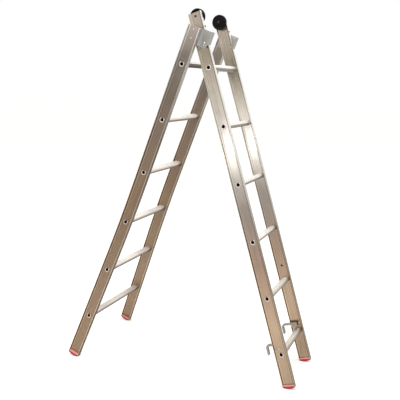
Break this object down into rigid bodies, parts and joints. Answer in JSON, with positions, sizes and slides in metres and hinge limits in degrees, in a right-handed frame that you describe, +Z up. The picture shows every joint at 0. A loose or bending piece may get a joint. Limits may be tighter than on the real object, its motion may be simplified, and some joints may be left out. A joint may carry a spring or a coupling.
{
  "type": "multi position ladder",
  "caption": "Aluminium two-section ladder standing as an open trestle: splayed wide base, sliding narrow fly with hooks and top wheels, red rubber feet.",
  "frame": {"origin": "on the floor, midway between the outer edges of the feet and on the ladder's mid-plane", "axes": "+Z up, +X from the wide base section's feet towards the narrow fly section's feet, +Y across the ladder along the rungs"},
  "size_m": [1.331, 0.6198, 1.94],
  "materials": {
    "base_rail_metal": "mill-finish extrusion, lengthwise die lines",
    "fly_rail_metal": "mill-finish extrusion, lengthwise die lines",
    "rung_metal": "mill-finish extrusion with a ribbed tread",
    "foot_rubber": "moulded rubber, satin",
    "bracket_metal": "folded sheet, satin",
    "rivet_metal": "set rivets, satin",
    "plated_steel": "zinc plated",
    "pale_nylon": "turned nylon",
    "black_steel": "blackened, satin",
    "black_plastic": "moulded, satin",
    "wheel_rubber": "moulded solid tyre, matt",
    "hook_steel": "bent bar, dull plated"
  },
  "bodies": {
    "base": {"base_foot_far": "foot_rubber", "base_foot_near": "foot_rubber", "base_rail_far": "base_rail_metal", "base_rail_near": "base_rail_metal", "base_rung_1": "rung_metal", "base_rung_2": "rung_metal", "base_rung_3": "rung_metal", "base_rung_4": "rung_metal", "base_rung_5": "rung_metal", "base_rung_6": "rung_metal", "bracket_rivet_lower_far": "rivet_metal", "bracket_rivet_lower_near": "rivet_metal", "bracket_rivet_upper_far": "rivet_metal", "bracket_rivet_upper_near": "rivet_metal", "guide_bracket_far": "bracket_metal", "guide_bracket_near": "bracket_metal"},
    "pivots": {"pivot_bolt_far": "plated_steel", "pivot_bolt_near": "plated_steel", "pivot_button_far": "pale_nylon", "pivot_button_near": "pale_nylon"},
    "fly": {"axle_nut_far": "plated_steel", "axle_nut_near": "plated_steel", "fly_foot_far": "foot_rubber", "fly_foot_near": "foot_rubber", "fly_rail_far": "fly_rail_metal", "fly_rail_near": "fly_rail_metal", "fly_rung_1": "rung_metal", "fly_rung_2": "rung_metal", "fly_rung_3": "rung_metal", "fly_rung_4": "rung_metal", "fly_rung_5": "rung_metal", "fly_rung_6": "rung_metal", "fly_stop_screw_far": "black_steel", "fly_stop_screw_near": "black_steel", "hook_bolt_back_far": "plated_steel", "hook_bolt_back_near": "plated_steel", "hook_bolt_front_far": "plated_steel", "hook_bolt_front_near": "plated_steel", "rung_hook_far": "hook_steel", "rung_hook_near": "hook_steel", "wheel_axle_far": "black_steel", "wheel_axle_near": "black_steel", "wheel_spacer_far": "rivet_metal", "wheel_spacer_near": "rivet_metal"},
    "wheel_near": {"wheel_hub_near": "black_plastic", "wheel_tyre_near": "wheel_rubber"},
    "wheel_far": {"wheel_hub_far": "black_plastic", "wheel_tyre_far": "wheel_rubber"}
  },
  "joints": [
    {"name": "fold", "type": "hinge", "parent": "base", "child": "pivots", "pos_m": [0.15173, 0, 1.76263], "axis": [0, 1, 0], "range_deg": [0, 38]},
    {"name": "extend", "type": "slide", "parent": "pivots", "child": "fly", "axis": [-0.2729, 0, 0.9621], "range_m": [0, 1.22]},
    {"name": "wheel_near_spin", "type": "hinge", "parent": "fly", "child": "wheel_near", "pos_m": [0.09738, -0.1475, 1.90001], "axis": [0, 1, 0], "continuous": true},
    {"name": "wheel_far_spin", "type": "hinge", "parent": "fly", "child": "wheel_far", "pos_m": [0.09738, 0.1475, 1.90001], "axis": [0, 1, 0], "continuous": true}
  ]
}
